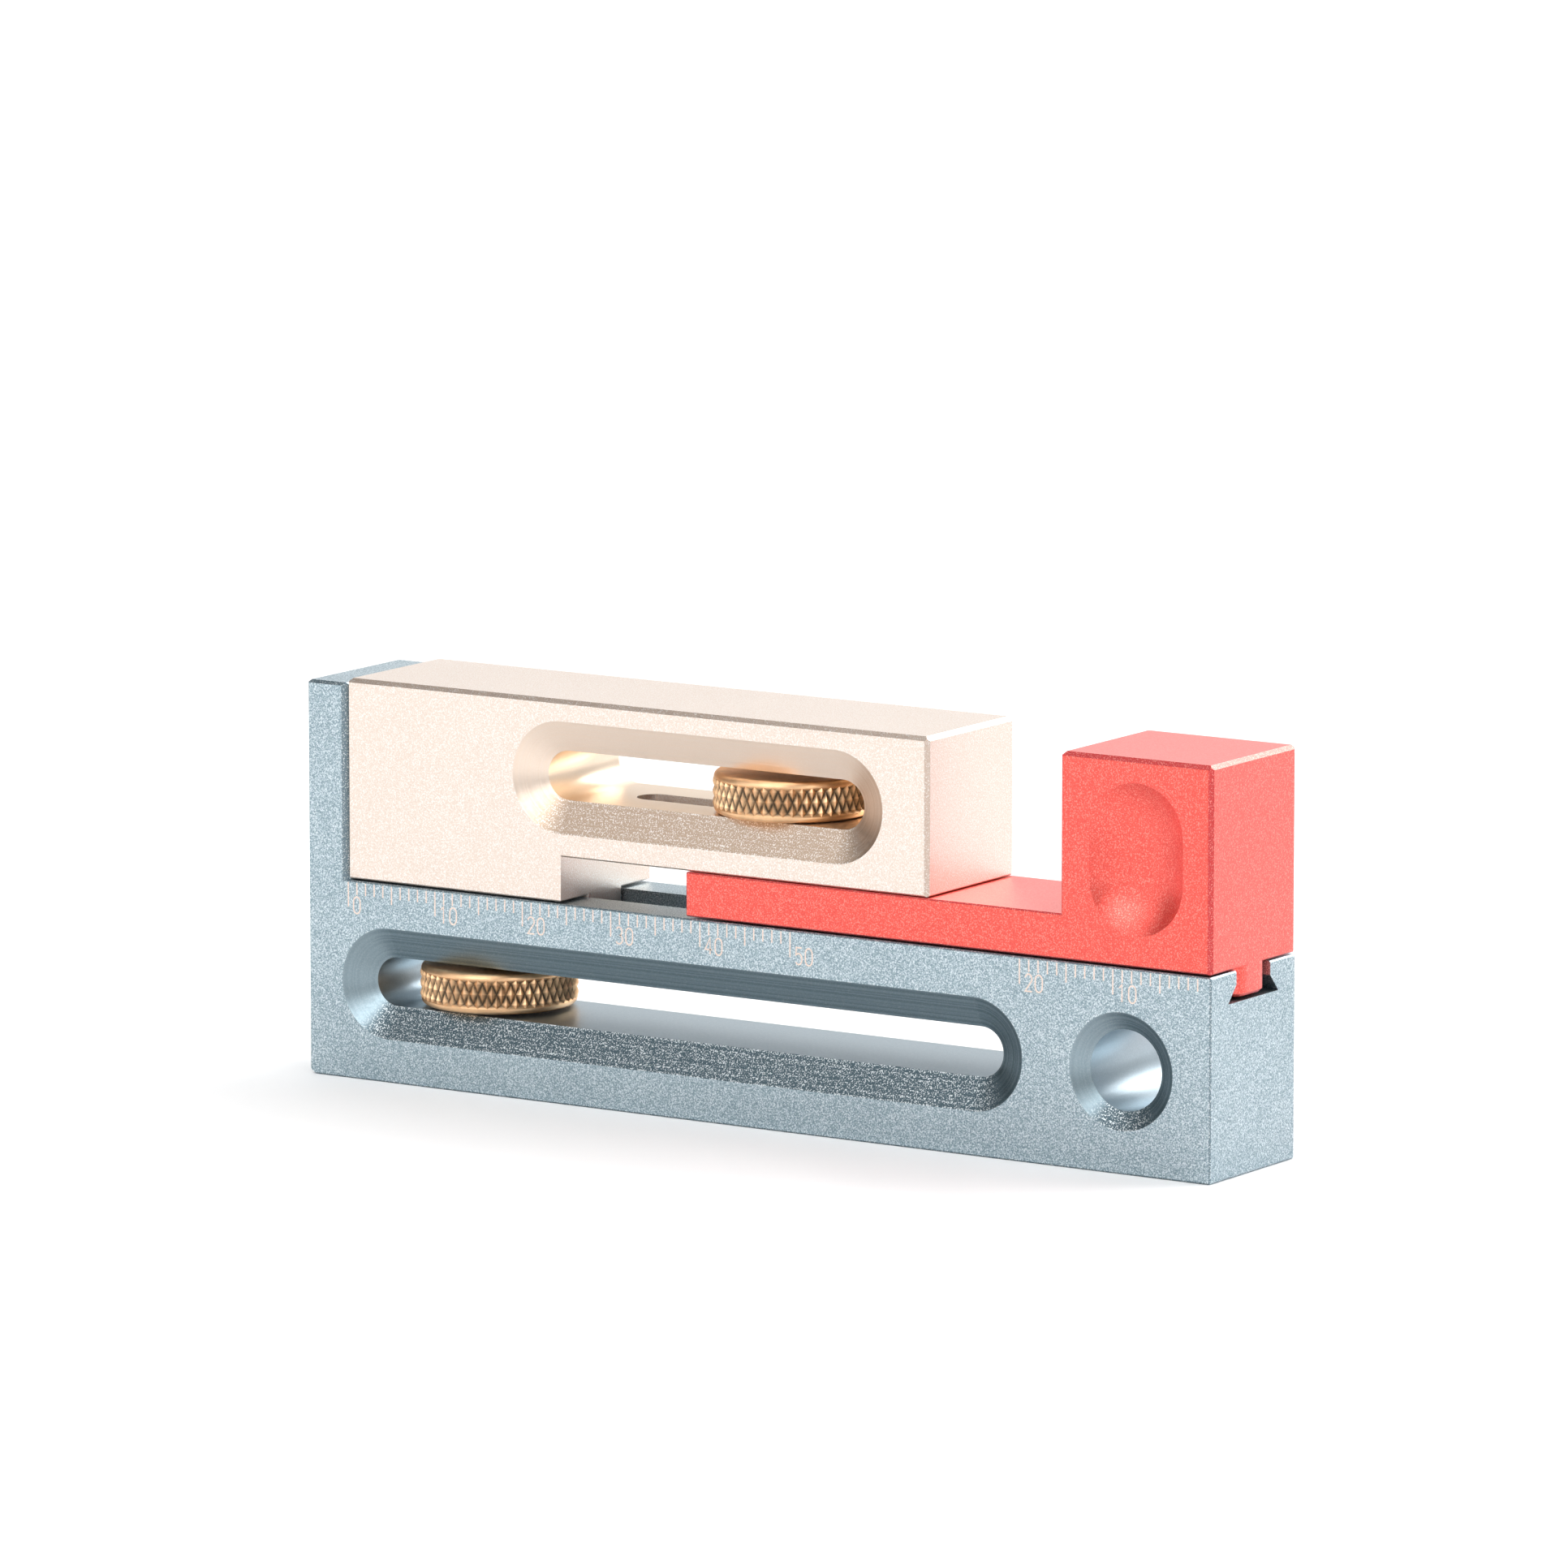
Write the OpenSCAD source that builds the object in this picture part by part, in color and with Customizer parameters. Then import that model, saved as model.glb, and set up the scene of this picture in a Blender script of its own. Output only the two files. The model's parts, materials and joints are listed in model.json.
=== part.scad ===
// Kerf and tenon setting gauge: a base bar with an end stop, two sliding
// blocks on it, and two knurled thumb nuts that lock them.
// Millimetres, +Z up. X runs along the bar, with the end stop at -X and the
// scale on the -Y face. The origin is under the middle of the bar, on the
// face that it stands on.

/* [Base bar] */
// Length of the base bar, end stop included
bar_length = 100; // [96:1:104]
// Width of the bar and of both blocks, front to back
bar_width = 15; // [14.8:0.1:15]
// Height of the bar under the blocks
bar_height = 19.1; // [19:0.1:19.2]
// Height of the end stop
stop_height = 38; // [34:0.5:42]
// Thickness of the end stop
stop_thickness = 4.5; // [3.5:0.1:4.6]
// Height of the middle of the bar's window and of its round hole
window_height = 9.5; // [9.4:0.1:9.6]
// Distance from the scale's zero to the bar window's first end centre
bar_window_start = 4.6; // [4:0.1:5]
// Distance from the scale's zero to the bar window's last end centre
bar_window_end = 70; // [69:0.5:72]

/* [Windows and hole] */
// Radius of a window's straight throat
throat_radius = 2.35; // [2.3:0.01:2.4]
// Radius of a window's mouth in the face
mouth_radius = 5.35; // [4.8:0.05:5.4]
// Depth of the flare from the mouth to the throat
flare_depth = 1.6; // [1.2:0.1:2]
// Radius of the round hole near the free end
hole_radius = 3.8; // [3:0.1:4.5]
// Radius of the round hole's countersink in the face
hole_mouth_radius = 5.5; // [5:0.1:5.8]
// Depth of the round hole's countersink
hole_flare_depth = 0.95; // [0.5:0.05:1.2]
// Distance from the free end to the middle of the round hole
hole_inset = 9.5; // [8:0.5:12]

/* [Groove] */
// Width of the groove's straight neck
groove_neck = 6; // [5.9:0.1:6.2]
// Depth of the straight neck
neck_depth = 1.3; // [1:0.1:1.5]
// Width of the groove's flared floor
groove_floor = 8.9; // [8:0.1:9.2]
// Whole depth of the groove
groove_depth = 2.9; // [2.8:0.1:3]
// Width of the keys that run in the groove
key_width = 5.8; // [5.6:0.1:5.8]
// Depth of the keys below the blocks
key_depth = 2.8; // [2.4:0.1:2.8]

/* [Gap block] */
// Length of the gap block
gap_length = 65; // [64:0.5:66]
// Length of the foot that stands on the bar
foot_length = 24.3; // [23.5:0.1:24.4]
// Thickness of the block above the step
gap_height = 14.9; // [14.7:0.1:15.1]
// Height of the middle of the block's window above its underside
gap_window_rise = 7.5; // [7.4:0.1:7.6]
// Distance from the scale's zero to the block window's first end centre
gap_window_start = 24.3; // [23.5:0.1:25]
// Distance from the scale's zero to the block window's last end centre
gap_window_end = 54.8; // [54:0.1:56]
// Distance from the scale's zero to the first end centre of the stud slot in the block
gap_slot_start = 30; // [29.5:0.1:31]

/* [Kerf block] */
// Distance from the scale's zero to the kerf bar's inner end
kerf_start = 38.4; // [38:0.1:39]
// Thickness of the kerf bar that passes under the gap block
kerf_bar = 4.2; // [4:0.1:4.2]
// Length of the tall grip at the end of the kerf bar
grip_length = 16; // [15:0.5:16]
// Height of the grip above the kerf bar
grip_height = 15; // [13:0.5:16]
// Radius of the ball cutter that makes the thumb dimple
dimple_cutter = 8.5; // [8:0.1:10]
// Depth of the thumb dimple
dimple_depth = 1.6; // [1:0.1:2]
// Straight length of the dimple between its round ends
dimple_run = 4.2; // [3:0.1:5]
// How far the dimple's middle lies below the middle of the grip
dimple_drop = 1.8; // [1:0.1:2.2]

/* [Thumb nuts and studs] */
// Radius of a thumb nut over its knurl
nut_radius = 7.55; // [7.5:0.01:7.55]
// Thickness of a thumb nut
nut_thickness = 3.9; // [3.6:0.1:3.9]
// Bevel on both rims of a thumb nut
nut_bevel = 0.6; // [0.4:0.1:0.8]
// Radius of the studs
stud_radius = 1.5; // [1.5:0.01:1.5]
// Gap between a stud and its nut, all round
stud_clearance = 0.03; // [0.02:0.01:0.1]
// Distance from the scale's zero to the gap block's stud
gap_stud = 12.2; // [12:0.1:12.4]
// Distance from the scale's zero to the kerf block's stud
kerf_stud = 45.5; // [45:0.1:46]
// Radius of the slots that the studs travel in
stud_slot_radius = 1.7; // [1.65:0.05:1.8]
// Travel of the gap block from the end stop
gap_travel = 51; // [50:0.5:51]
// Travel of the kerf block towards the foot
kerf_travel_in = 13.7; // [12:0.1:13.7]
// Travel of the kerf block away from the foot
kerf_travel_out = 2.5; // [2:0.1:2.5]

/* [Edges and play] */
// Bevel on the blocks' upper and outer edges
block_bevel = 0.4; // [0.2:0.05:0.6]
// Bevel on the end stop's upper edges
stop_bevel = 0.3; // [0.1:0.05:0.5]
// Bevel on the end stop's upright inner edges
stop_inner_bevel = 0.6; // [0.2:0.1:0.8]
// Bevel on the bar's outer lower corner at the end stop
heel_bevel = 0.6; // [0.2:0.1:1]
// Bevel that breaks the remaining edges
edge_break = 0.15; // [0.1:0.01:0.2]
// Play between the bar's top and the blocks
slide_play = 0.2; // [0.1:0.05:0.25]
// Play between the gap block and the end stop when closed
stop_play = 0.15; // [0.1:0.05:0.2]

/* [Hidden] */
$fn = 96;

// Small overlap that lets a cutter run past the face it opens
over = 1;
half_width = bar_width / 2;
bar_x0 = -bar_length / 2;
bar_x1 = bar_length / 2;
// The scale's zero is where a closed gap block begins
zero_x = bar_x0 + stop_thickness + stop_play / 2;
stop_face_x = bar_x0 + stop_thickness;

groove_floor_z = bar_height - groove_depth;
neck_bottom_z = bar_height - neck_depth;
// The groove's blind end is a half circle about this point
groove_inset = 3.4;
groove_start_x = zero_x + groove_inset;

seat_z = bar_height + slide_play;
// The kerf bar fills the step under the gap block but for a little play
step_play = 0.1;
step_z = seat_z + kerf_bar + step_play;
gap_top_z = step_z + gap_height;
gap_window_z = step_z + gap_window_rise;
gap_x0 = zero_x + stop_play / 2;
gap_x1 = gap_x0 + gap_length;
foot_x1 = gap_x0 + foot_length;
kerf_x0 = zero_x + kerf_start;
kerf_x1 = bar_x1;
kerf_bar_top_z = seat_z + kerf_bar;
grip_top_z = kerf_bar_top_z + grip_height;
key_bottom_z = seat_z - key_depth;
kerf_key_corner = 1.8;
gap_key_corner = 0.4;
key_edge = 0.3;
// The gap block's key starts where the groove has reached its full width
gap_key_start = 3.2;
// The kerf block's key stops short of the bar's inner end
kerf_key_start = 0.5;

gap_stud_x = zero_x + gap_stud;
kerf_stud_x = zero_x + kerf_stud;
// Extra slot length that stops a stud from touching the slot's end
slot_play = 0.2;
// How far the gap block's stud reaches up into the foot from the key's lower face
stud_grip = 8.6;
// The gap nut hangs a turn below the window's ceiling, and the kerf nut is down on its floor
gap_nut_lift = 0.3;
kerf_nut_lift = 0.08;
gap_nut_z = window_height - throat_radius + gap_nut_lift;
kerf_nut_z = gap_window_z - throat_radius + kerf_nut_lift;
// How far a stud's free end lies inside its nut
stud_recess = 0.25;
// How far the foot's solid runs up into the block that it carries
foot_overlap = 2.5;
socket_across_corners = 1.73;
socket_depth = 1.5;
stud_tip = 0.25;

// One corner of a bevelled outline: both points of its cut, or the corner itself
function corner(x, y, from, to, cut) =
    cut == 0 ? [[x, y]] : [[x, y] + cut * from, [x, y] + cut * to];

// Outline of a rectangle from [x0, y0] to [x1, y1], whose corners are cut by
// [lower left, lower right, upper right, upper left]
function cut_outline(x0, y0, x1, y1, cuts) = concat(
    corner(x0, y0, [0, 1], [1, 0], cuts[0]),
    corner(x1, y0, [-1, 0], [0, 1], cuts[1]),
    corner(x1, y1, [0, -1], [-1, 0], cuts[2]),
    corner(x0, y1, [1, 0], [0, -1], cuts[3]));

// A shape drawn in X and Z, extruded through the whole width
module through_width(width) {
    rotate([90, 0, 0]) translate([0, 0, -width / 2]) linear_extrude(height = width) children();
}

// A shape drawn in Y and Z, extruded along X
module along_x(x0, x1) {
    translate([x0, 0, 0]) rotate([90, 0, 90]) linear_extrude(height = x1 - x0) children();
}

// A block whose edges along Y, X and Z have their own bevels
module bevelled_block(x0, x1, z0, z1, side_cuts, end_cuts, plan_cuts) {
    intersection() {
        through_width(bar_width) polygon(cut_outline(x0, z0, x1, z1, side_cuts));
        along_x(x0, x1) polygon(cut_outline(-half_width, z0, half_width, z1, end_cuts));
        translate([0, 0, z0]) linear_extrude(height = z1 - z0)
            polygon(cut_outline(x0, -half_width, x1, half_width, plan_cuts));
    }
}

// A slot with round ends, drawn between its two end centres
module slot_outline(x0, x1, radius) {
    translate([x0, 0]) circle(r = radius);
    translate([x1, 0]) circle(r = radius);
    translate([x0, -radius]) square([x1 - x0, 2 * radius]);
}

// An upright slot, cut from z0 to z1
module stud_slot(x0, x1, z0, z1) {
    translate([0, 0, z0]) linear_extrude(height = z1 - z0) slot_outline(x0, x1, stud_slot_radius);
}

// The countersink at one end of a window or hole, on the -Y face
module mouth_cone(x, z, throat, mouth, depth) {
    slope = (mouth - throat) / depth;
    translate([x, -half_width - over, z]) rotate([-90, 0, 0])
        cylinder(h = depth + over, r1 = mouth + slope * over, r2 = throat);
}

// The straight part of a window's flare, on the -Y face
module mouth_wedge(x0, x1, z) {
    slope = (mouth_radius - throat_radius) / flare_depth;
    wide = mouth_radius + slope * over;
    along_x(x0, x1) polygon([
        [-half_width - over, z - wide],
        [-half_width + flare_depth, z - throat_radius],
        [-half_width + flare_depth, z + throat_radius],
        [-half_width - over, z + wide]]);
}

// A long window through the width, flared on both faces
module window(x0, x1, z) {
    through_width(bar_width + 2 * over) translate([0, z]) slot_outline(x0, x1, throat_radius);
    for (face = [0, 1]) mirror([0, face, 0]) {
        mouth_wedge(x0, x1, z);
        for (x = [x0, x1]) mouth_cone(x, z, throat_radius, mouth_radius, flare_depth);
    }
}

// The round countersunk hole through the width
module round_hole(x, z) {
    translate([x, half_width + over, z]) rotate([90, 0, 0])
        cylinder(h = bar_width + 2 * over, r = hole_radius);
    for (face = [0, 1]) mirror([0, face, 0])
        mouth_cone(x, z, hole_radius, hole_mouth_radius, hole_flare_depth);
}

// Half of the groove's section, from its middle outwards
function groove_half() = [
    [0, groove_floor_z],
    [groove_floor / 2, groove_floor_z],
    [groove_neck / 2, neck_bottom_z],
    [groove_neck / 2, bar_height + over],
    [0, bar_height + over]];

// The groove with the flared floor: round at its blind end, open at the free end
module groove() {
    translate([groove_start_x, 0, 0]) rotate_extrude() polygon(groove_half());
    for (side = [0, 1]) mirror([0, side, 0])
        along_x(groove_start_x, bar_x1 + over) polygon(groove_half());
}

// A key with round corners and a bevelled lower edge, from x0 to x1
module key(x0, x1, corner_radius) {
    half = key_width / 2;
    inner = half - corner_radius;
    top = seat_z + over;
    along_x(x0 + corner_radius, x1 - corner_radius)
        polygon(cut_outline(-half, key_bottom_z, half, top, [key_edge, key_edge, 0, 0]));
    if (inner > 0) through_width(2 * inner)
        polygon(cut_outline(x0, key_bottom_z, x1, top, [key_edge, key_edge, 0, 0]));
    for (x = [x0 + corner_radius, x1 - corner_radius], y = inner > 0 ? [-inner, inner] : [0])
        translate([x, y, key_bottom_z]) {
            cylinder(h = key_edge, r1 = corner_radius - key_edge, r2 = corner_radius);
            translate([0, 0, key_edge]) cylinder(h = top - key_bottom_z - key_edge, r = corner_radius);
        }
}

// The bar with its end stop, window, round hole, groove and stud slot
module base() {
    broken = [edge_break, edge_break, edge_break, edge_break];
    color([0.55, 0.66, 0.71]) difference() {
        union() {
            bevelled_block(bar_x0, bar_x1, 0, bar_height,
                [heel_bevel, edge_break, edge_break, 0], broken, broken);
            bevelled_block(bar_x0, stop_face_x, bar_height / 2, stop_height,
                [0, 0, stop_bevel, stop_bevel], [0, 0, stop_bevel, stop_bevel],
                [edge_break, stop_inner_bevel, stop_inner_bevel, edge_break]);
        }
        window(zero_x + bar_window_start, zero_x + bar_window_end, window_height);
        round_hole(bar_x1 - hole_inset, window_height);
        groove();
        stud_slot(gap_stud_x - slot_play, gap_stud_x + gap_travel + slot_play,
                  window_height, groove_floor_z + over);
    }
}

// The block that sets the gap against the end stop, with its foot and key
module gap_slider() {
    color([0.93, 0.83, 0.76]) difference() {
        union() {
            bevelled_block(gap_x0, gap_x1, step_z, gap_top_z,
                [0, edge_break, block_bevel, block_bevel],
                [edge_break, edge_break, block_bevel, block_bevel],
                [edge_break, block_bevel, block_bevel, edge_break]);
            bevelled_block(gap_x0, foot_x1, seat_z, step_z + foot_overlap,
                [edge_break, edge_break, 0, 0], [edge_break, edge_break, 0, 0],
                [edge_break, 0, 0, edge_break]);
            key(gap_x0 + gap_key_start, foot_x1, gap_key_corner);
        }
        window(zero_x + gap_window_start, zero_x + gap_window_end, gap_window_z);
        stud_slot(zero_x + gap_slot_start, kerf_stud_x + kerf_travel_out + slot_play,
                  step_z - over, gap_window_z);
        translate([gap_stud_x, 0, key_bottom_z - over]) cylinder(h = stud_grip + over, r = stud_radius);
    }
}

// A ball-milled dimple with round ends, on the -Y face of the grip
module thumb_dimple() {
    translate([kerf_x1 - grip_length / 2, dimple_depth - half_width - dimple_cutter,
               grip_top_z - grip_height / 2 - dimple_drop]) {
        for (end = [-1, 1]) translate([0, 0, end * dimple_run / 2]) sphere(r = dimple_cutter);
        translate([0, 0, -dimple_run / 2]) cylinder(h = dimple_run, r = dimple_cutter);
    }
}

// The block that sets the kerf: a flat bar under the gap block, with a tall grip and a key
module kerf_slider() {
    color([0.9, 0.2, 0.17]) difference() {
        union() {
            bevelled_block(kerf_x0, kerf_x1, seat_z, kerf_bar_top_z,
                [edge_break, edge_break, 0, edge_break],
                [edge_break, edge_break, edge_break, edge_break],
                [edge_break, block_bevel, block_bevel, edge_break]);
            bevelled_block(kerf_x1 - grip_length, kerf_x1, seat_z + kerf_bar / 2, grip_top_z,
                [0, 0, block_bevel, block_bevel],
                [0, 0, block_bevel, block_bevel],
                [edge_break, block_bevel, block_bevel, edge_break]);
            key(kerf_x0 + kerf_key_start, kerf_x1, kerf_key_corner);
        }
        for (face = [0, 1]) mirror([0, face, 0]) thumb_dimple();
        translate([kerf_stud_x, 0, key_bottom_z + over])
            cylinder(h = groove_depth + kerf_bar + over, r = stud_radius);
    }
}

// A stud with broken ends and a hexagon socket in its top end
module stud(length) {
    difference() {
        rotate_extrude() polygon(cut_outline(0, 0, stud_radius, length, [0, stud_tip, stud_tip, 0]));
        translate([0, 0, length - socket_depth])
            linear_extrude(height = socket_depth + over) circle(r = socket_across_corners / 2, $fn = 6);
    }
}

// The gap block's stud hangs from its foot, with the socket facing down
module gap_lock_stud() {
    length = key_bottom_z + stud_grip - gap_nut_z - stud_recess;
    color([0.45, 0.46, 0.48]) translate([gap_stud_x, 0, key_bottom_z + stud_grip])
        rotate([180, 0, 0]) stud(length);
}

// The kerf block's stud stands up through the slot in the gap block's window floor
module kerf_lock_stud() {
    bottom_z = key_bottom_z + over;
    length = kerf_nut_z + nut_thickness - bottom_z - stud_recess;
    color([0.45, 0.46, 0.48]) translate([kerf_stud_x, 0, bottom_z]) stud(length);
}

// A round thumb nut with bevelled rims, standing on its lower face
module thumb_nut() {
    bore = stud_radius + stud_clearance;
    rotate_extrude() polygon(cut_outline(bore, 0, nut_radius, nut_thickness,
                                         [0, nut_bevel, nut_bevel, 0]));
}

module gap_lock_nut() {
    color([0.75, 0.55, 0.33]) translate([gap_stud_x, 0, gap_nut_z]) thumb_nut();
}

module kerf_lock_nut() {
    color([0.78, 0.58, 0.32]) translate([kerf_stud_x, 0, kerf_nut_z]) thumb_nut();
}

base();
gap_slider();
kerf_slider();
gap_lock_stud();
gap_lock_nut();
kerf_lock_stud();
kerf_lock_nut();
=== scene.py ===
"""Looks for a kerf and tenon setting gauge: three anodised blocks, two knurled
brass thumb nuts, their steel studs, and the millimetre marks on the bar."""

import json
import math

import bmesh
import bpy
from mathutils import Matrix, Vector


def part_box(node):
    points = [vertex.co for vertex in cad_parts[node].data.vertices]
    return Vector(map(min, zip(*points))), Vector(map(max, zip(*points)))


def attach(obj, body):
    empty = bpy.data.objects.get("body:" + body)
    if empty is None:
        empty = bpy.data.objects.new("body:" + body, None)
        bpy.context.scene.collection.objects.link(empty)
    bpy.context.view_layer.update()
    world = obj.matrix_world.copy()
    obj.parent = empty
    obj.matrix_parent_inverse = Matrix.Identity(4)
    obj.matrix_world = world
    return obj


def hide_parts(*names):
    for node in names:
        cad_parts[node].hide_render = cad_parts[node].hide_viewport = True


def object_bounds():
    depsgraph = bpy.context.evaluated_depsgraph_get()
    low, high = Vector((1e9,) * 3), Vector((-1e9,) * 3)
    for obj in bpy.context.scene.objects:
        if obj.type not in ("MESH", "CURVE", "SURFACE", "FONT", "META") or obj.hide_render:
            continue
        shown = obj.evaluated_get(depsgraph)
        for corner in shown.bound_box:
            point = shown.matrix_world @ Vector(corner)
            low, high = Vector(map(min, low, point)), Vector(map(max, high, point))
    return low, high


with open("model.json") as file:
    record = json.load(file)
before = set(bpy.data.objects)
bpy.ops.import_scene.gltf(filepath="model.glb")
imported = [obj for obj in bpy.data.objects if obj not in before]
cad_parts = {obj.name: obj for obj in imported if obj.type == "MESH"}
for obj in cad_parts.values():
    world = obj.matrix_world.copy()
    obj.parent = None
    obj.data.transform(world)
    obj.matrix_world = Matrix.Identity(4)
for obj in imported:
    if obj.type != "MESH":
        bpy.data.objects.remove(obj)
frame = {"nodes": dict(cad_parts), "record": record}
cad_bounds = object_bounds()

MM = 0.001
base_low, base_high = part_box("base")
front_y = base_low.y
bar_end_x = base_high.x
middle = (cad_bounds[0] + cad_bounds[1]) / 2


# Node graphs

class Graph:
    """The node tree of a material or a world, with short ways to add nodes and join them."""

    def __init__(self, owner, shader_name="Principled BSDF"):
        owner.use_nodes = True
        self.owner = owner
        self.tree = owner.node_tree
        self.shader = self.tree.nodes[shader_name]

    def node(self, kind, settings=None, **inputs):
        made = self.tree.nodes.new("ShaderNode" + kind)
        for key, value in (settings or {}).items():
            setattr(made, key, value)
        for key, value in inputs.items():
            self.feed(made, key, value)
        return made

    def feed(self, node, key, value):
        """Sets an input, or links it if the value is another node's output. in_0 means input 0."""
        name = int(key[3:]) if key.startswith("in_") else key.replace("_", " ")
        socket = node.inputs[name]
        if isinstance(value, bpy.types.NodeSocket):
            self.tree.links.new(value, socket)
        else:
            socket.default_value = value

    def math(self, operation, first, second=0.0, third=0.0, clamp=False):
        settings = {"operation": operation, "use_clamp": clamp}
        return self.node("Math", settings, in_0=first, in_1=second, in_2=third).outputs[0]

    def ramp(self, value, low, high, to_low=0.0, to_high=1.0):
        """Maps low..high to to_low..to_high, held at both ends and eased between them."""
        made = self.node("MapRange", {"interpolation_type": "SMOOTHSTEP"},
                         Value=value, From_Min=low, From_Max=high, To_Min=to_low, To_Max=to_high)
        return made.outputs["Result"]

    def mix(self, factor, first, second):
        """Mixes two colours. Inputs 6 and 7 and output 2 are the node's colour sockets."""
        return self.node("Mix", {"data_type": "RGBA"}, in_0=factor, in_6=first, in_7=second).outputs[2]

    def noise(self, vector, size, detail=2.0, roughness=0.5):
        """Noise whose blobs are about size metres across."""
        made = self.node("TexNoise", Vector=vector, Scale=1 / size, Detail=detail, Roughness=roughness)
        return made.outputs["Fac"]

    def lines(self, distance, size, detail):
        """Noise in bands across the given distance, about size metres wide."""
        made = self.node("TexNoise", {"noise_dimensions": "1D"}, W=distance, Scale=1 / size, Detail=detail)
        return made.outputs["Fac"]


def split(graph, vector):
    """The X, Y and Z of a vector."""
    return graph.node("SeparateXYZ", Vector=vector).outputs


# Materials

GRAIN_SIZE = 0.13 * MM
COARSE_GRAIN_SIZE = 0.3 * MM
RING_WIDTH = 0.14 * MM
CLOUD_SIZE = 9 * MM

# How far a normal points along Y on the flares and on the chamfers, each with its tolerance, and at
# most on a window's walls
FLARE_FACING = 0.88
FLARE_TOLERANCE = 0.02
CHAMFER_FACING = 0.7071
CHAMFER_TOLERANCE = 0.004
WALL_FACING = 0.2


def anodised(name, tones, grain_height, milled_height, painted_shade_way=(0, 0, 0), window=None, coat=0.0,
             roughness=0.38):
    """Bead-blasted, anodised aluminium: bright grains (partly painted glints) and dark pits on the faces,
    rings left by the cutter on the flares, painted shade on the flares that lean the way of the painted
    shade, dark lower flares of painted shade with painted sparkle, painted shade on the chamfers, and
    smoother walls inside the windows. The tones are its colours by name, and the window is what
    window_level gives."""
    g = Graph(bpy.data.materials.new(name))
    place = g.node("TexCoord").outputs
    normal = split(g, place["Normal"])
    position = split(g, place["Object"])
    facing = g.math("ABSOLUTE", normal[1])
    depth = g.math("ABSOLUTE", position[1])
    # Painted shade: the chamfers are found by how they face and are painted in a darker tone
    edge = g.math("COMPARE", facing, CHAMFER_FACING, CHAMFER_TOLERANCE)
    flare = 0.0
    wall = 0.0
    if window:
        flare = g.math("COMPARE", facing, FLARE_FACING, FLARE_TOLERANCE)
        middle_z, reach_z, middle_x, reach_x = window
        level = g.math("COMPARE", position[2], middle_z, reach_z)
        inside = g.math("COMPARE", position[0], middle_x, reach_x)
        sideways = g.math("LESS_THAN", facing, WALL_FACING)
        wall = g.math("MULTIPLY", g.math("MULTIPLY", level, inside), sideways)

    grain = g.noise(place["Object"], GRAIN_SIZE, 1.0)
    coarse = g.noise(place["Object"], COARSE_GRAIN_SIZE, 1.0)
    cloud = g.noise(place["Object"], CLOUD_SIZE, 3.0)
    rings = g.lines(depth, RING_WIDTH, 1.0)

    # The lower flares keep their grain. The other flares and the walls lose most of it.
    lower = g.math("MULTIPLY", flare, g.ramp(normal[2], 0.34, 0.45))
    smooth_flare = g.math("SUBTRACT", flare, lower)
    cut = g.math("ADD", smooth_flare, wall, clamp=True)
    blast_share = g.math("MULTIPLY_ADD", cut, -0.9, 1.0)

    blasted = g.math("MULTIPLY_ADD", coarse, 0.5, grain)
    blasted_bump = g.node("Bump", Height=blasted, Strength=blast_share, Distance=grain_height)
    flare_rings = g.math("MULTIPLY", rings, flare)
    milled_bump = g.node("Bump", Height=flare_rings, Strength=1.0, Distance=milled_height,
                         Normal=blasted_bump.outputs[0])
    g.feed(g.shader, "Normal", milled_bump.outputs[0])

    # Painted shade: flares that lean the way of the painted shade are painted darker, with the cutter's
    # rings nearer the face's tone
    lean = g.node("VectorMath", {"operation": "DOT_PRODUCT"}, in_0=place["Normal"], in_1=painted_shade_way)
    painted_shade = g.ramp(lean.outputs["Value"], -0.3, 0.1)
    milled = g.mix(painted_shade, tones["milled"], tones["painted_shade_tone"])
    ringed = g.mix(g.ramp(rings, 0.38, 0.62, 0.0, 0.2), milled, tones["face"])
    # Painted shade: the lower flares are painted in their own dark tone
    milled_tone = g.mix(lower, ringed, tones["lower"])
    face_tone = g.mix(g.ramp(cloud, 0.3, 0.7, 0.0, 0.12), tones["face"], tones["pit"])
    tone = g.mix(edge, g.mix(wall, g.mix(flare, face_tone, milled_tone), tones["wall"]), tones["edge"])

    # Dark pits between the grains, then bright grains, which are partly painted glints and follow the
    # rings as painted sparkle on the lower flares
    pit_share = g.math("MULTIPLY", g.ramp(grain, 0.34, 0.5, 0.7, 0.0), blast_share)
    pitted = g.mix(g.math("MULTIPLY", pit_share, g.math("SUBTRACT", 1.0, lower)), tone, tones["pit"])
    streak = g.math("MULTIPLY", g.math("SUBTRACT", rings, 0.5), lower)
    streaked = g.math("MULTIPLY_ADD", streak, 0.2, grain)
    bright = g.math("MULTIPLY", g.ramp(streaked, 0.51, 0.68, 0.0, 0.65), blast_share)
    g.feed(g.shader, "Base_Color", g.mix(bright, pitted, tones["grain"]))
    rough = g.ramp(coarse, 0.2, 0.8, roughness - 0.04, roughness + 0.04)
    g.feed(g.shader, "Roughness", g.math("MULTIPLY_ADD", wall, -0.03, rough))
    g.shader.inputs["Metallic"].default_value = 1.0
    g.shader.inputs["Coat Weight"].default_value = coat
    g.shader.inputs["Coat Roughness"].default_value = 0.38
    return g.owner


PATINA_FADE = 0.1 * MM
BRIGHT_TIP = 0.1 * MM
LATHE_LINE_WIDTH = 0.09 * MM


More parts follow.
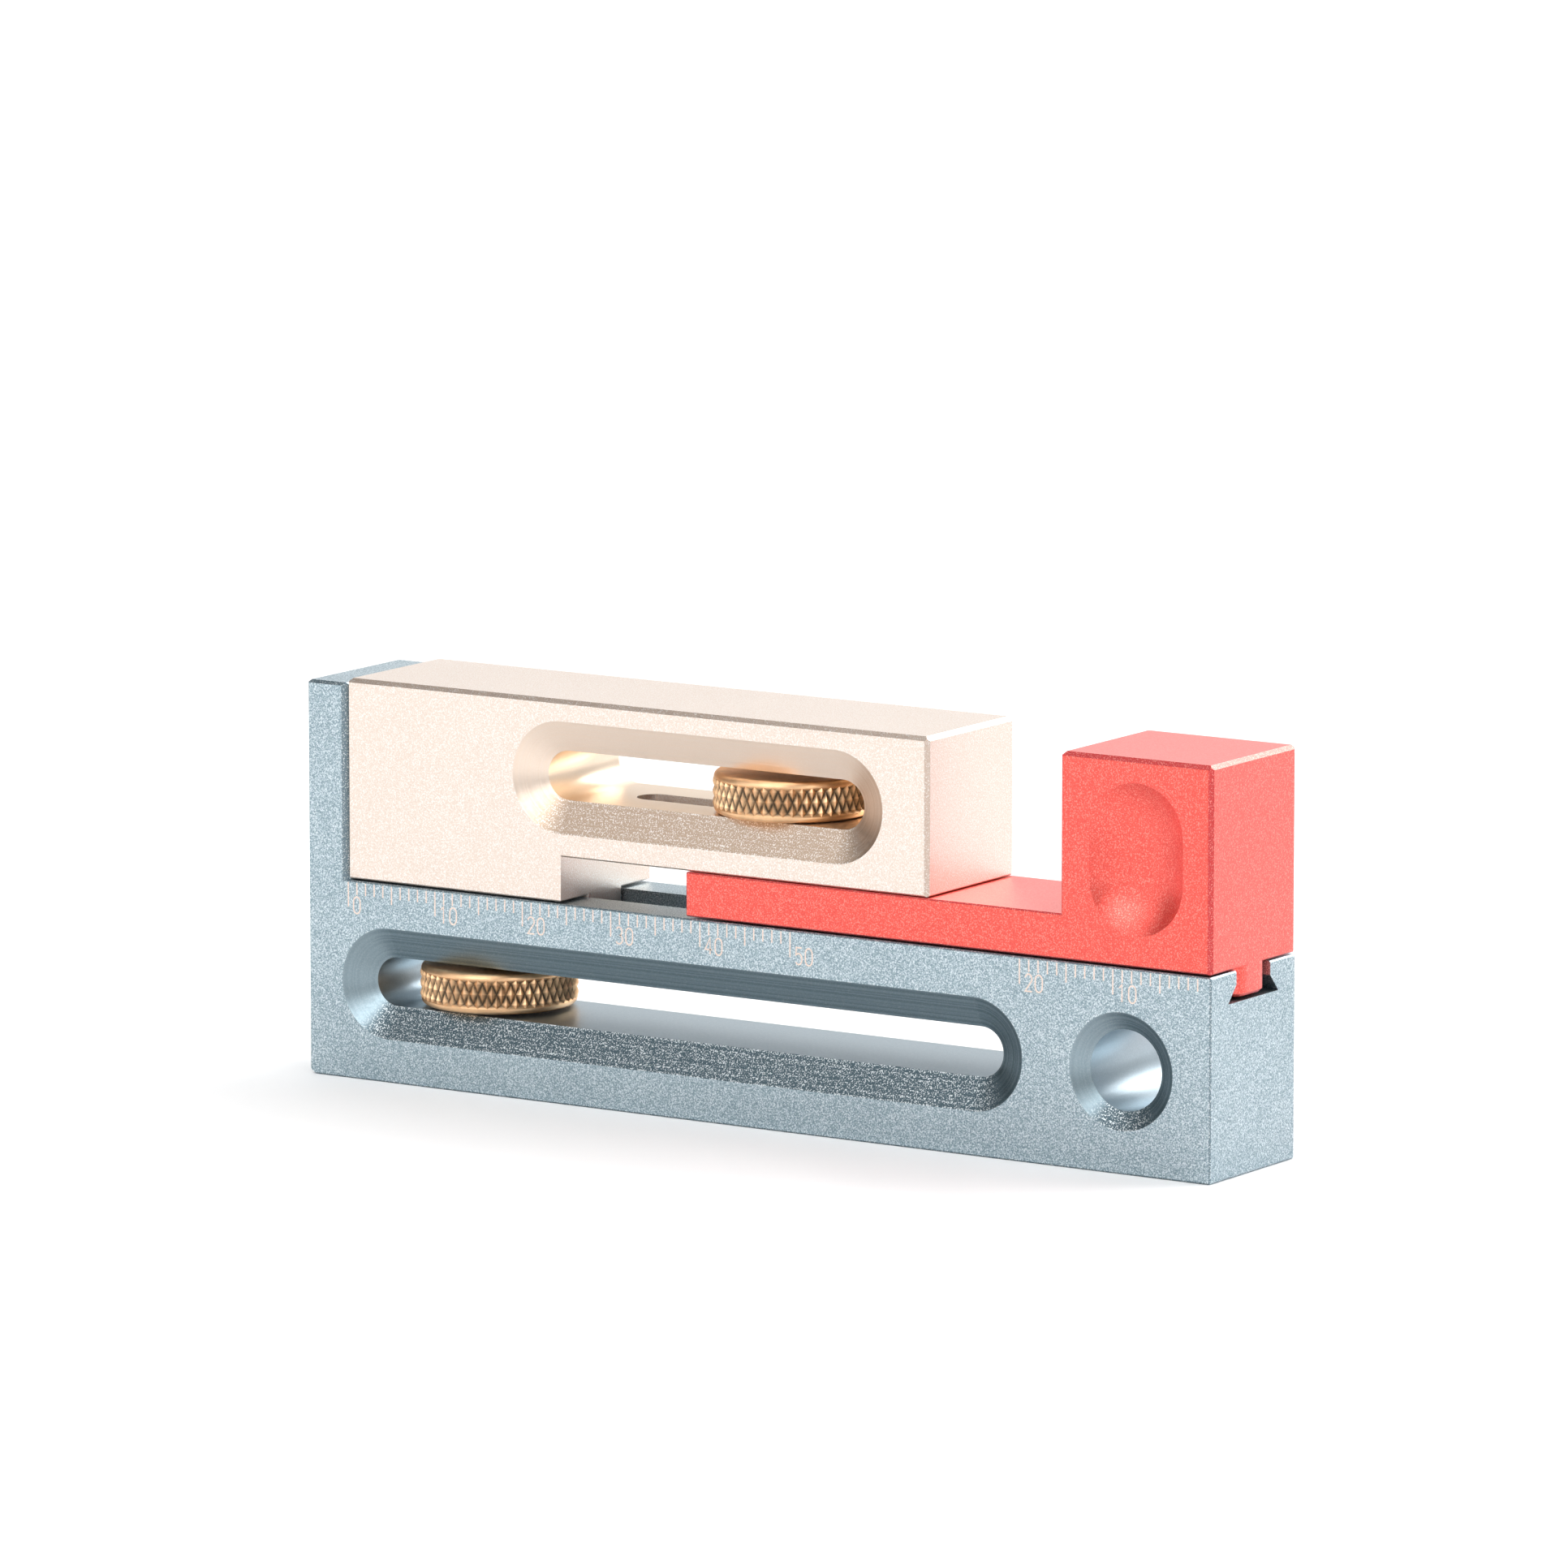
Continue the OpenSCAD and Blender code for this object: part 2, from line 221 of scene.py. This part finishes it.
def brass(name, colour, patina, groove_radius, peak_radius, band_low, band_high):
    """Turned brass with a dark patina in the knurl's grooves and bright, worn tips."""
    g = Graph(bpy.data.materials.new(name))
    place = g.node("TexCoord").outputs
    position = split(g, place["Object"])
    squares = g.math("ADD", g.math("POWER", position[0], 2.0), g.math("POWER", position[1], 2.0))
    radius = g.math("SQRT", squares)
    above = g.ramp(position[2], band_low - PATINA_FADE, band_low + PATINA_FADE)
    below = g.ramp(position[2], band_high - PATINA_FADE, band_high + PATINA_FADE, 1.0, 0.0)
    in_band = g.math("MULTIPLY", above, below)
    groove = g.ramp(radius, groove_radius, peak_radius, 1.0, 0.0)
    grime_noise = g.noise(place["Object"], 0.7 * MM, 3.0, 0.6)
    grime = g.math("MULTIPLY", groove, g.ramp(grime_noise, 0.25, 0.6, 0.55, 1.0))
    dirt = g.math("MULTIPLY", grime, in_band)

    fine = g.noise(place["Object"], 0.12 * MM, 2.0, 0.6)
    cloud = g.noise(place["Object"], 2.5 * MM, 3.0, 0.6)
    lathe = g.lines(radius, LATHE_LINE_WIDTH, 2.0)
    turned = g.math("MULTIPLY_ADD", lathe, g.math("SUBTRACT", 1.0, in_band), fine)
    bump = g.node("Bump", Height=turned, Strength=1.0, Distance=0.006 * MM)
    g.feed(g.shader, "Normal", bump.outputs[0])

    darker = tuple(0.8 * c for c in colour[:3]) + (1.0,)
    metal = g.mix(g.ramp(cloud, 0.35, 0.7), colour, darker)
    g.feed(g.shader, "Base_Color", g.mix(dirt, metal, patina))
    g.feed(g.shader, "Roughness", g.ramp(dirt, 0.0, 1.0, 0.4, 0.6))
    g.shader.inputs["Metallic"].default_value = 1.0
    return g.owner


def threaded_steel(name, pitch):
    """Blackened steel, with a thread's ridges in the bump."""
    g = Graph(bpy.data.materials.new(name))
    place = g.node("TexCoord").outputs
    position = split(g, place["Object"])
    wave = g.math("SINE", g.math("MULTIPLY", position[2], 2 * math.pi / pitch))
    fine = g.noise(place["Object"], 0.15 * MM, 2.0, 0.6)
    ridges = g.math("MULTIPLY_ADD", fine, 0.2, wave)
    bump = g.node("Bump", Height=ridges, Strength=1.0, Distance=0.05 * MM)
    g.feed(g.shader, "Normal", bump.outputs[0])
    g.feed(g.shader, "Base_Color", g.mix(fine, (0.34, 0.34, 0.36, 1), (0.52, 0.52, 0.54, 1)))
    g.shader.inputs["Metallic"].default_value = 1.0
    g.shader.inputs["Roughness"].default_value = 0.32
    return g.owner


def laser_mark(name, colour, dull):
    """The pale, slightly uneven mark that a laser leaves on the anodised face."""
    g = Graph(bpy.data.materials.new(name))
    place = g.node("TexCoord").outputs
    fine = g.noise(place["Object"], 0.1 * MM, 2.0, 0.6)
    bump = g.node("Bump", Height=fine, Strength=1.0, Distance=0.008 * MM)
    g.feed(g.shader, "Normal", bump.outputs[0])
    g.feed(g.shader, "Base_Color", g.mix(g.ramp(fine, 0.35, 0.65), colour, dull))
    g.shader.inputs["Metallic"].default_value = 0.0
    g.shader.inputs["Roughness"].default_value = 0.6
    return g.owner


# How far in metres from the middle of the floor its glow starts to rise, and where it is full
GLOW_RISE_START = 0.3
GLOW_RISE_END = 1.6


def paper_white(name, glow, far_glow):
    """The studio's white paper, which may glow as over-lit paper does, and more far away."""
    g = Graph(bpy.data.materials.new(name))
    place = g.node("TexCoord").outputs
    away = g.node("VectorMath", {"operation": "LENGTH"}, in_0=place["Object"])
    cloud = g.noise(place["Object"], 300 * MM)
    g.feed(g.shader, "Base_Color", g.mix(cloud, (0.86, 0.86, 0.865, 1), (0.87, 0.87, 0.87, 1)))
    g.shader.inputs["Roughness"].default_value = 0.9
    g.shader.inputs["Specular IOR Level"].default_value = 0.1
    g.shader.inputs["Emission Color"].default_value = (1, 1, 1, 1)
    strength = g.ramp(away.outputs["Value"], GLOW_RISE_START, GLOW_RISE_END, glow, far_glow)
    g.feed(g.shader, "Emission_Strength", strength)
    return g.owner


def set_material(piece, material):
    piece.data.materials.clear()
    piece.data.materials.append(material)


# Meshes

def mesh_object(name, mesh_builder):
    """A new object whose mesh is what the builder adds to an empty bmesh, with its faces turned
    outwards."""
    mesh = bpy.data.meshes.new(name)
    bm = bmesh.new()
    mesh_builder(bm)
    bmesh.ops.recalc_face_normals(bm, faces=bm.faces)
    if bm.calc_volume(signed=True) < 0:
        bmesh.ops.reverse_faces(bm, faces=bm.faces)
    bm.to_mesh(mesh)
    bm.free()
    made = bpy.data.objects.new(name, mesh)
    bpy.context.scene.collection.objects.link(made)
    return made


def smooth_but_sharp(mesh, degrees):
    """Smooth shading, with every edge sharper than the angle kept crisp."""
    mesh.polygons.foreach_set("use_smooth", [True] * len(mesh.polygons))
    mesh.set_sharp_from_angle(angle=math.radians(degrees))


def arc(centre, radii, start, end, steps):
    """Points on part of an ellipse, with angles in degrees."""
    points = []
    for i in range(steps + 1):
        angle = math.radians(start + (end - start) * i / steps)
        points.append((centre[0] + radii[0] * math.cos(angle), centre[1] + radii[1] * math.sin(angle)))
    return points


# The part of a step by which a revolved ring is turned, so that its edges don't lie on the knurl's
REVOLVE_OFFSET = 0.35


def revolve(bm, profile, steps):
    """A ring swept from a closed outline of (radius, height) points."""
    rings = []
    for i in range(steps):
        angle = 2 * math.pi * (i + REVOLVE_OFFSET) / steps
        rings.append([bm.verts.new((r * math.cos(angle), r * math.sin(angle), z)) for r, z in profile])
    count = len(profile)
    for i in range(steps):
        here = rings[i]
        there = rings[(i + 1) % steps]
        for k in range(count):
            after = (k + 1) % count
            bm.faces.new((here[k], there[k], there[after], here[after]))


def diamond_roller(bm, peak, depth, diamonds, row, centre_z, rows_each_way):
    """A solid roller covered with pointed diamonds. Its grid is half a diamond across: every
    second point is a tip, and the grooves join the points between."""
    columns = 2 * diamonds
    rows = []
    for j in range(-rows_each_way, rows_each_way + 1):
        z = centre_z + j * row
        ring = []
        for i in range(columns):
            angle = 2 * math.pi * i / columns
            radius = peak if (i + j) % 2 else peak - depth
            ring.append(bm.verts.new((radius * math.cos(angle), radius * math.sin(angle), z)))
        rows.append(ring)
    for j in range(len(rows) - 1):
        for i in range(columns):
            after = (i + 1) % columns
            low_left, low_right = rows[j][i], rows[j][after]
            high_left, high_right = rows[j + 1][i], rows[j + 1][after]
            if (i + j - rows_each_way) % 2 == 0:
                bm.faces.new((low_left, low_right, high_right))
                bm.faces.new((low_left, high_right, high_left))
            else:
                bm.faces.new((low_left, low_right, high_left))
                bm.faces.new((low_right, high_right, high_left))
    bm.faces.new(rows[0])
    bm.faces.new(rows[-1])


WELD_DISTANCE = 0.004 * MM
SLIVER_WIDTH = 0.001 * MM


def weld(mesh):
    """Joins points that a boolean left almost together, and drops the slivers between them."""
    bm = bmesh.new()
    bm.from_mesh(mesh)
    bmesh.ops.remove_doubles(bm, verts=bm.verts, dist=WELD_DISTANCE)
    bmesh.ops.dissolve_degenerate(bm, dist=SLIVER_WIDTH, edges=bm.edges)
    bm.to_mesh(mesh)
    bm.free()


def combine(piece, other, operation):
    """Changes the piece by a boolean with the other one, which is then removed."""
    boolean = piece.modifiers.new("combined", "BOOLEAN")
    boolean.operation = operation
    boolean.solver = "EXACT"
    boolean.object = other
    depsgraph = bpy.context.evaluated_depsgraph_get()
    mesh = bpy.data.meshes.new_from_object(piece.evaluated_get(depsgraph))
    weld(mesh)
    piece.modifiers.clear()
    piece.data = mesh
    bpy.data.objects.remove(other)


# Thumb nuts

DIAMONDS = 50
DIAMOND_ROW = 1.0 * MM
ROWS_EACH_WAY = 3
KNURL_DEPTH = 0.36 * MM
TIP_WEAR = 0.035 * MM
BAND_BEVEL = 0.25 * MM
BAND_BURIED = 0.12 * MM
SHOULDER_HEIGHT = 0.58 * MM
SHOULDER_DROP = 0.12 * MM
SHOULDER_RUN = 0.42 * MM
WAIST_CLEARANCE = 0.04 * MM
RIM_ROUND = 0.55 * MM
RIM_STEPS = 8
BORE_BEVEL = 0.25 * MM
STUD_CLEARANCE = 0.03 * MM
SEGMENTS = 192
CREASE_DEGREES = 24


def mirrored(points, thickness):
    """The points turned over for the upper half of a nut, in the order that goes on round it."""
    return [(r, thickness - z) for r, z in reversed(points)]


def core_profile(bore, radius, thickness):
    """The nut under its knurl: bore, flat faces, rounded rims, and a waist below the grooves."""
    shoulder = radius - SHOULDER_DROP
    waist = radius - KNURL_DEPTH - WAIST_CLEARANCE
    rim = arc((shoulder - RIM_ROUND, RIM_ROUND), (RIM_ROUND, RIM_ROUND), -90, 0, RIM_STEPS)
    lower = ([(bore, BORE_BEVEL), (bore + BORE_BEVEL, 0)] + rim
             + [(shoulder, SHOULDER_HEIGHT), (waist, SHOULDER_HEIGHT + SHOULDER_RUN)])
    return lower + mirrored(lower, thickness)


def band_profile(bore, radius, thickness):
    """The ring that keeps the knurl between the shoulders, with its ends buried in them."""
    end = SHOULDER_HEIGHT - BAND_BURIED
    inner = (bore + radius) / 2
    tip = radius - TIP_WEAR
    lower = [(inner, end), (radius - BAND_BEVEL, end), (tip, end + BAND_BEVEL)]
    return lower + mirrored(lower, thickness)


def thumb_nut(name, node, stud_node, material):
    """A knurled nut where the CAD nut is, with its own origin in the middle of its lower face.
    The roller is cut to a band by a ring, and the core is then joined to it."""
    low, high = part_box(node)
    stud_low, stud_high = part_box(stud_node)
    radius = (high.x - low.x) / 2
    thickness = high.z - low.z
    bore = (stud_high.x - stud_low.x) / 2 + STUD_CLEARANCE
    band_outline = band_profile(bore, radius, thickness)
    core_outline = core_profile(bore, radius, thickness)
    piece = mesh_object(name, lambda bm: diamond_roller(
        bm, radius, KNURL_DEPTH, DIAMONDS, DIAMOND_ROW, thickness / 2, ROWS_EACH_WAY))
    band = mesh_object(name + "_band", lambda bm: revolve(bm, band_outline, SEGMENTS))
    combine(piece, band, "INTERSECT")
    core = mesh_object(name + "_core", lambda bm: revolve(bm, core_outline, SEGMENTS))
    combine(piece, core, "UNION")
    smooth_but_sharp(piece.data, CREASE_DEGREES)
    piece.location = ((low.x + high.x) / 2, (low.y + high.y) / 2, low.z)
    set_material(piece, material)
    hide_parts(node)
    return piece


# Scale marks

MARK_WIDTH = 0.15 * MM
MARK_PROUD = 0.01 * MM
MARK_SUNK = 0.02 * MM
TEN_LENGTH = 2.35 * MM
FIVE_LENGTH = 1.75 * MM
ONE_LENGTH = 1.17 * MM
DIGIT_WIDTH = 0.76 * MM
DIGIT_HEIGHT = 1.6 * MM
DIGIT_STEP = 1.1 * MM

# From the bar's top down to the marks, from their top down to the foot of the numbers, and from a
# mark across to its number
MARKS_DROP = 0.19 * MM
DIGITS_DROP = 2.95 * MM
DIGITS_ACROSS = 0.6 * MM

# The left scale's zero is this far behind the stop's face, and the right one's this far in from
# the free end. Both scales count millimetres.
LEFT_ZERO_SHIFT = 0.075 * MM
RIGHT_ZERO_SHIFT = 0.4 * MM
LEFT_SCALE_LENGTH = 50
RIGHT_SCALE_LENGTH = 20

# The stop stands at the -X end, so the highest point at +X is on the bar's top
base_piece = frame["nodes"]["base"]
base_points = [base_piece.matrix_world @ v.co for v in base_piece.data.vertices]
bar_top_z = max(point.z for point in base_points if point.x > 0)


def ribbon(bm, points, width, closed=False):
    """A flat stroke of the given width along (x, z) points, just proud of the front face."""
    count = len(points)
    sides = []
    for i in range(count):
        before = Vector(points[i - 1]) if closed or i > 0 else None
        after = Vector(points[(i + 1) % count]) if closed or i < count - 1 else None
        here = Vector(points[i])
        first = (here - before).normalized() if before is not None else (after - here).normalized()
        second = (after - here).normalized() if after is not None else first
        along = (first + second).normalized()
        across = Vector((-along.y, along.x)) * (width / 2 / max(0.5, along.dot(first)))
        sides.append((here + across, here - across))
    levels = []
    for y in (front_y - MARK_PROUD, front_y + MARK_SUNK):
        levels.append([[bm.verts.new((p.x, y, p.y)) for p in pair] for pair in sides])
    front, back = levels
    for i in range(count if closed else count - 1):
        j = (i + 1) % count
        bm.faces.new((front[i][0], front[j][0], front[j][1], front[i][1]))
        bm.faces.new((back[i][0], back[i][1], back[j][1], back[j][0]))
        for side in (0, 1):
            bm.faces.new((front[i][side], back[i][side], back[j][side], front[j][side]))
    if not closed:
        for i in (0, count - 1):
            bm.faces.new((front[i][0], front[i][1], back[i][1], back[i][0]))


# The strokes of each digit, as (points in a cell 1 wide and 1 tall, whether the stroke closes)
DIGIT_STROKES = {
    "0": [(arc((0.5, 0.68), (0.5, 0.32), 0, 180, 10)
           + arc((0.5, 0.32), (0.5, 0.32), 180, 360, 10), True)],
    "1": [([(0.12, 0.8), (0.5, 1.0), (0.5, 0.0)], False)],
    "2": [(arc((0.5, 0.72), (0.47, 0.28), 165, -25, 10) + [(0.04, 0.0), (1.0, 0.0)], False)],
    "3": [(arc((0.46, 0.75), (0.42, 0.25), 150, -80, 9), False),
          (arc((0.46, 0.27), (0.5, 0.27), 80, -150, 9), False)],
    "4": [([(0.72, 0.0), (0.72, 1.0), (0.0, 0.28), (1.0, 0.28)], False)],
    "5": [([(0.92, 1.0), (0.14, 1.0), (0.08, 0.56)]
           + arc((0.46, 0.33), (0.5, 0.33), 130, -145, 10), False)],
}


def write_number(bm, text, left_x, low_z):
    """The digits of a number from left to right, with their feet at low_z."""
    for place, digit in enumerate(text):
        x0 = left_x + place * DIGIT_STEP
        for points, closed in DIGIT_STROKES[digit]:
            placed = [(x0 + x * DIGIT_WIDTH, low_z + z * DIGIT_HEIGHT) for x, z in points]
            ribbon(bm, placed, MARK_WIDTH, closed)


def mark(bm, number, x):
    """One mark of a scale, with its number under it where that is a whole ten."""
    top_z = bar_top_z - MARKS_DROP
    length = ONE_LENGTH
    if number % 10 == 0:
        length = TEN_LENGTH
    elif number % 5 == 0:
        length = FIVE_LENGTH
    ribbon(bm, [(x, top_z), (x, top_z - length)], MARK_WIDTH)
    if number % 10 == 0:
        write_number(bm, str(number), x + DIGITS_ACROSS, top_z - DIGITS_DROP)


def scale_marks(bm):
    """The left scale counts from the end stop, and the right one from the free end."""
    zero_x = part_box("gap_slider")[0].x - LEFT_ZERO_SHIFT
    for number in range(0, LEFT_SCALE_LENGTH + 1):
        mark(bm, number, zero_x + number * MM)
    for number in range(1, RIGHT_SCALE_LENGTH + 1):
        mark(bm, number, bar_end_x - number * MM - RIGHT_ZERO_SHIFT)


# Assembly

# A window's walls are looked for this far above and below its opening's box, and no nearer than
# this to the block's ends
WALL_REACH = 2 * MM
THREAD_PITCH = 0.5 * MM


def window_level(node, opening):
    """Where the walls of a block's windows are: middle and reach in Z, then in X."""
    found = [o for o in frame["record"]["physics"]["openings"] if o["name"] == opening][0]
    low, high = found["box_m"]
    block_low, block_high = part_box(node)
    return ((low[2] + high[2]) / 2, (high[2] - low[2]) / 2 + WALL_REACH,
            (block_low.x + block_high.x) / 2, (block_high.x - block_low.x) / 2 - WALL_REACH)


# Among each block's tones, the darker flare tones and the chamfer tone are painted shade, and the pale
# grain tone is partly painted glints
blue_grey = anodised(
    "anodised_blue_grey",
    {"face": (0.42, 0.525, 0.58, 1), "pit": (0.18, 0.26, 0.31, 1), "grain": (0.9, 0.96, 0.98, 1),
     "milled": (0.29, 0.375, 0.42, 1), "painted_shade_tone": (0.115, 0.17, 0.2, 1), "lower": (0.075, 0.11, 0.13, 1),
     "wall": (0.42, 0.5, 0.55, 1), "edge": (0.2, 0.27, 0.31, 1)},
    grain_height=0.02 * MM, milled_height=0.006 * MM,
    painted_shade_way=(-1, 0, 0), window=window_level("base", "bar_window"))
champagne = anodised(
    "anodised_champagne",
    {"face": (0.86, 0.75, 0.665, 1), "pit": (0.78, 0.65, 0.56, 1), "grain": (1.0, 0.98, 0.96, 1),
     "milled": (0.88, 0.73, 0.61, 1), "painted_shade_tone": (0.62, 0.46, 0.35, 1), "lower": (0.5, 0.38, 0.29, 1),
     "wall": (0.92, 0.76, 0.6, 1), "edge": (0.62, 0.49, 0.4, 1)},
    grain_height=0.014 * MM, milled_height=0.014 * MM,
    painted_shade_way=(-1, 0, 1), window=window_level("gap_slider", "gap_block_window"))
red_cut = (0.93, 0.13, 0.1, 1)
red = anodised(
    "anodised_red",
    {"face": (0.96, 0.1, 0.07, 1), "pit": (0.8, 0.07, 0.055, 1), "grain": (1.0, 0.34, 0.29, 1),
     "milled": red_cut, "painted_shade_tone": red_cut, "lower": red_cut, "wall": red_cut,
     "edge": (0.62, 0.03, 0.035, 1)},
    grain_height=0.016 * MM, milled_height=0.01 * MM, coat=1.0, roughness=0.42)
steel = threaded_steel("stud_steel", THREAD_PITCH)

for node, material, slot in (
        ("base", blue_grey, "base_anodised"),
        ("gap_slider", champagne, "gap_anodised"),
        ("kerf_slider", red, "kerf_anodised"),
        ("gap_lock_stud", steel, "stud_steel"),
        ("kerf_lock_stud", steel, "stud_steel")):
    piece = frame["nodes"][node]
    set_material(piece, material)

nut_low, nut_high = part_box("gap_lock_nut")
nut_radius = (nut_high.x - nut_low.x) / 2
nut_thickness = nut_high.z - nut_low.z
nut_brass = brass("nut_brass", (0.98, 0.62, 0.35, 1), (0.13, 0.105, 0.075, 1),
                  nut_radius - KNURL_DEPTH, nut_radius - BRIGHT_TIP,
                  SHOULDER_HEIGHT, nut_thickness - SHOULDER_HEIGHT)
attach(thumb_nut("gap_thumb_nut", "gap_lock_nut", "gap_lock_stud", nut_brass), "gap_nut")
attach(thumb_nut("kerf_thumb_nut", "kerf_lock_nut", "kerf_lock_stud", nut_brass), "kerf_nut")

marks = mesh_object("scale_marks", scale_marks)
set_material(marks, laser_mark("laser_mark", (0.98, 0.82, 0.72, 1), (0.7, 0.57, 0.49, 1)))
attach(marks, "base")


# Stage: floor, lights and camera

FLOOR_REACH = 12.0
FLOOR_GAP = 0.02 * MM
MIRRORED_FLOOR_GAP = 0.04 * MM

CAMERA_AZIMUTH = 33.1
CAMERA_ELEVATION = 9.34
CAMERA_DISTANCE = 1062.9 * MM
CAMERA_AIM_X = 3.92 * MM
CAMERA_AIM_Z = 32.76 * MM
SENSOR_WIDTH_MM = 36.0
FOCAL_LENGTH_MM = 264.2


def direction_to(azimuth, elevation):
    """The way from the object to something at that azimuth, which is 0 at -Y and 90 at +X."""
    a = math.radians(azimuth)
    e = math.radians(elevation)
    return Vector((math.sin(a) * math.cos(e), -math.cos(a) * math.cos(e), math.sin(e)))


def softbox(name, azimuth, elevation, distance, width, height, power):
    """A soft box that faces the middle of the object, in degrees, metres and watts."""
    light = bpy.data.lights.new(name, "AREA")
    light.shape = "RECTANGLE"
    light.size = width
    light.size_y = height
    light.energy = power
    lamp = bpy.data.objects.new(name, light)
    way = direction_to(azimuth, elevation)
    lamp.location = middle + way * distance
    lamp.rotation_mode = "QUATERNION"
    lamp.rotation_quaternion = way.to_track_quat("Z", "Y")
    lamp.visible_camera = False
    bpy.context.scene.collection.objects.link(lamp)


def studio_world(bright_way, dim, bright):
    """White light that is bright towards one way, and dim at the sides of it and opposite it."""
    world = bpy.data.worlds.new("studio")
    g = Graph(world, "Background")
    place = g.node("TexCoord").outputs
    lean = g.node("VectorMath", {"operation": "DOT_PRODUCT"}, in_0=place["Generated"], in_1=bright_way)
    g.feed(g.shader, "Strength", g.ramp(lean.outputs["Value"], 0.0, 0.9, dim, bright))
    g.shader.inputs["Color"].default_value = (1, 1, 1, 1)
    bpy.context.scene.world = world


def floor_plane(bm):
    corners = ((-1, -1), (1, -1), (1, 1), (-1, 1))
    bm.faces.new([bm.verts.new((x * FLOOR_REACH, y * FLOOR_REACH, 0)) for x, y in corners])


# The paper that shows is over-lit. The paper under it, which the metal mirrors, is not.
floor = mesh_object("studio_floor", floor_plane)
floor.location = (0, 0, base_low.z - FLOOR_GAP)
set_material(floor, paper_white("paper_white", 0.13, 1.0))
mirrored_floor = mesh_object("mirrored_floor", floor_plane)
mirrored_floor.location = (0, 0, base_low.z - MIRRORED_FLOOR_GAP)
set_material(mirrored_floor, paper_white("paper_plain", 0.0, 0.0))
mirrored_floor.visible_camera = False
for ray in ("diffuse", "glossy", "transmission", "shadow"):
    setattr(floor, "visible_" + ray, False)

studio_world(Vector((0, 1, 0)), 0.04, 0.78)
softbox("key", -2, 26, 0.8, 0.55, 0.36, 2.3)
softbox("front_left", -40, 12, 0.8, 0.45, 0.36, 0.6)
softbox("front_left_high", -42, 38, 0.8, 0.55, 0.42, 0.6)
softbox("front_right", 62, 22, 0.8, 0.4, 0.3, 1.2)
softbox("front_overhead", -10, 62, 0.9, 0.6, 0.5, 1.6)
softbox("overhead", 0, 88, 0.9, 0.7, 0.7, 2.5)
softbox("back_left", -146, 42, 1.0, 0.9, 0.7, 1.4)
softbox("back_right", 146, 42, 1.0, 0.9, 0.7, 9.4)

scene = bpy.context.scene
scene.view_settings.view_transform = "Standard"

lens = bpy.data.cameras.new("camera")
lens.sensor_width = SENSOR_WIDTH_MM
lens.lens = FOCAL_LENGTH_MM
lens.clip_start = 0.05
lens.clip_end = 20.0
camera = bpy.data.objects.new("camera", lens)
aim = Vector((CAMERA_AIM_X, front_y, CAMERA_AIM_Z))
view_way = direction_to(CAMERA_AZIMUTH, CAMERA_ELEVATION)
camera.location = aim + view_way * CAMERA_DISTANCE
camera.rotation_mode = "QUATERNION"
camera.rotation_quaternion = view_way.to_track_quat("Z", "Y")
bpy.context.scene.collection.objects.link(camera)
scene.camera = camera
